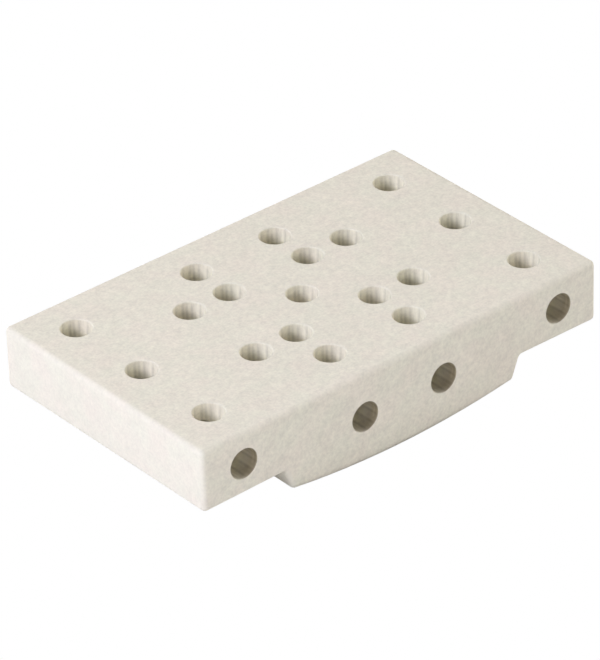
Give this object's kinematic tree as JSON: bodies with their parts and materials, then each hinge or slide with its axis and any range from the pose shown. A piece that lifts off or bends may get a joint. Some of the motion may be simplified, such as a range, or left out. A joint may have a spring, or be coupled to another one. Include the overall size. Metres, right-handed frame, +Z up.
{
  "type": "mounting block",
  "caption": "Rectangular one-piece mounting block with rounded edges, a grid of through holes in its top, cross-bores through its width and a convex rocker boss underneath.",
  "frame": {"origin": "under the middle of the block, on the lowest line of the rocker boss, level with the surface it rests on", "axes": "+X along the length, +Y along the cross-bores towards the back, +Z up, out of the drilled top face"},
  "size_m": [0.1, 0.06, 0.0203],
  "materials": {
    "sintered_body": "matte warm off-white with a fine powdery grain"
  },
  "bodies": {
    "root": {"mounting_block": "sintered_body"}
  },
  "joints": []
}
